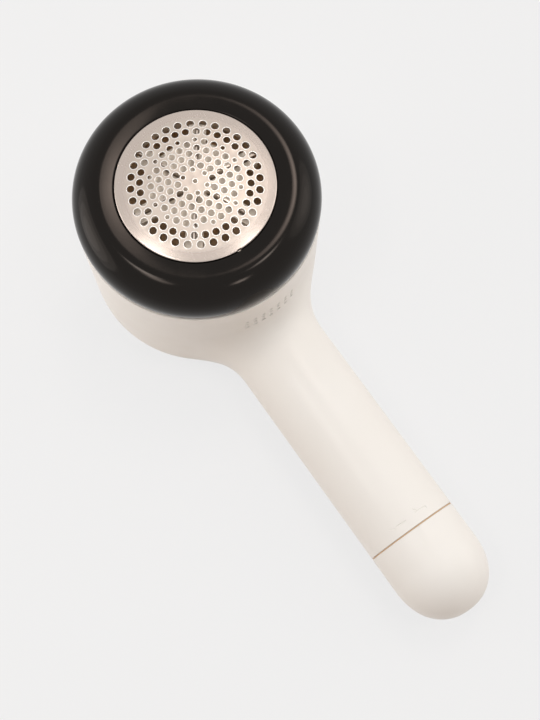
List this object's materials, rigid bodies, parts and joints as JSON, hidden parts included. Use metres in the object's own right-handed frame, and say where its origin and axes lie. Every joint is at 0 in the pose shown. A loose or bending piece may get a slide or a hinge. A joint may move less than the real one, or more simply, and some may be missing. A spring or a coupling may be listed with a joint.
{
  "type": "electric fabric shaver",
  "caption": "Battery fabric shaver: round drum with a domed perforated foil in a gloss ring, bladed rotor and lint cup, and a plain round handle with a twist-off end cap.",
  "frame": {"origin": "middle of the drum's flat back, on the head's axis, on the plane that the shaver lies on", "axes": "+X along the handle towards its end cap, +Z out of the foil, +Y completes a right-handed frame"},
  "size_m": [0.1705, 0.0696, 0.0659],
  "materials": {
    "cream_plastic": "satin moulded",
    "black_gloss": "polished",
    "foil_steel": "satin, spun",
    "blade_steel": "ground",
    "grey_plastic": "satin",
    "brown_plastic": "smooth",
    "dark_plastic": "matt",
    "motor_steel": "plated",
    "spring_steel": "plated",
    "contact_brass": "satin",
    "seal_rubber": "matt",
    "battery_jacket": "satin",
    "red_wire": "smooth",
    "black_wire": "smooth"
  },
  "bodies": {
    "housing": {"body_shell": "cream_plastic", "battery_tube": "grey_plastic", "battery_1": "battery_jacket", "battery_2": "battery_jacket", "inner_contact": "contact_brass", "return_strip": "contact_brass", "switch_leaf": "contact_brass", "motor_can": "motor_steel", "motor_end_bell": "dark_plastic", "motor_terminal_1": "contact_brass", "motor_terminal_2": "contact_brass", "motor_mount": "grey_plastic", "mount_screw_1": "spring_steel", "mount_screw_2": "spring_steel", "mount_screw_3": "spring_steel", "motor_screw_1": "spring_steel", "motor_screw_2": "spring_steel", "shaft_seal": "seal_rubber", "lint_cup": "brown_plastic", "contact_wire": "red_wire", "switch_wire": "black_wire"},
    "foil_unit": {"foil": "foil_steel", "foil_frame": "grey_plastic"},
    "ring": {"head_ring": "black_gloss"},
    "rotor": {"motor_shaft": "spring_steel", "drive_hub": "dark_plastic", "blade_spring": "spring_steel"},
    "cutter": {"blade_holder": "grey_plastic", "blade_1": "blade_steel", "blade_2": "blade_steel", "blade_3": "blade_steel", "blade_4": "blade_steel", "blade_5": "blade_steel", "blade_6": "blade_steel"},
    "switch": {"switch_knob": "cream_plastic", "switch_contact": "contact_brass"},
    "cap_core": {"cap_contact": "spring_steel", "battery_spring": "spring_steel"},
    "cap": {"end_cap": "cream_plastic", "cap_seal": "seal_rubber"}
  },
  "joints": [
    {"name": "head_lift", "type": "slide", "parent": "housing", "child": "foil_unit", "axis": [0, 0, 1], "range_m": [0, 0.03]},
    {"name": "ring_twist", "type": "hinge", "parent": "foil_unit", "child": "ring", "pos_m": [0, 0, 0.0506], "axis": [0, 0, 1], "range_deg": [0, 30]},
    {"name": "rotor_spin", "type": "hinge", "parent": "housing", "child": "rotor", "pos_m": [0, 0, 0.0456], "axis": [0, 0, 1], "continuous": true},
    {"name": "blade_float", "type": "slide", "parent": "rotor", "child": "cutter", "axis": [0, 0, 1], "range_m": [-0.0015, 0], "stiffness_N_per_m": 250, "springref_m": 0.002, "deforming": ["blade_spring"]},
    {"name": "switch_slide", "type": "slide", "parent": "housing", "child": "switch", "axis": [1, 0, 0], "range_m": [0, 0.004]},
    {"name": "cap_pull", "type": "slide", "parent": "housing", "child": "cap_core", "axis": [1, 0, 0], "range_m": [0, 0.04]},
    {"name": "cap_twist", "type": "hinge", "parent": "cap_core", "child": "cap", "pos_m": [0.1078, 0, 0.0142], "axis": [1, 0, 0], "range_deg": [0, 30]}
  ]
}
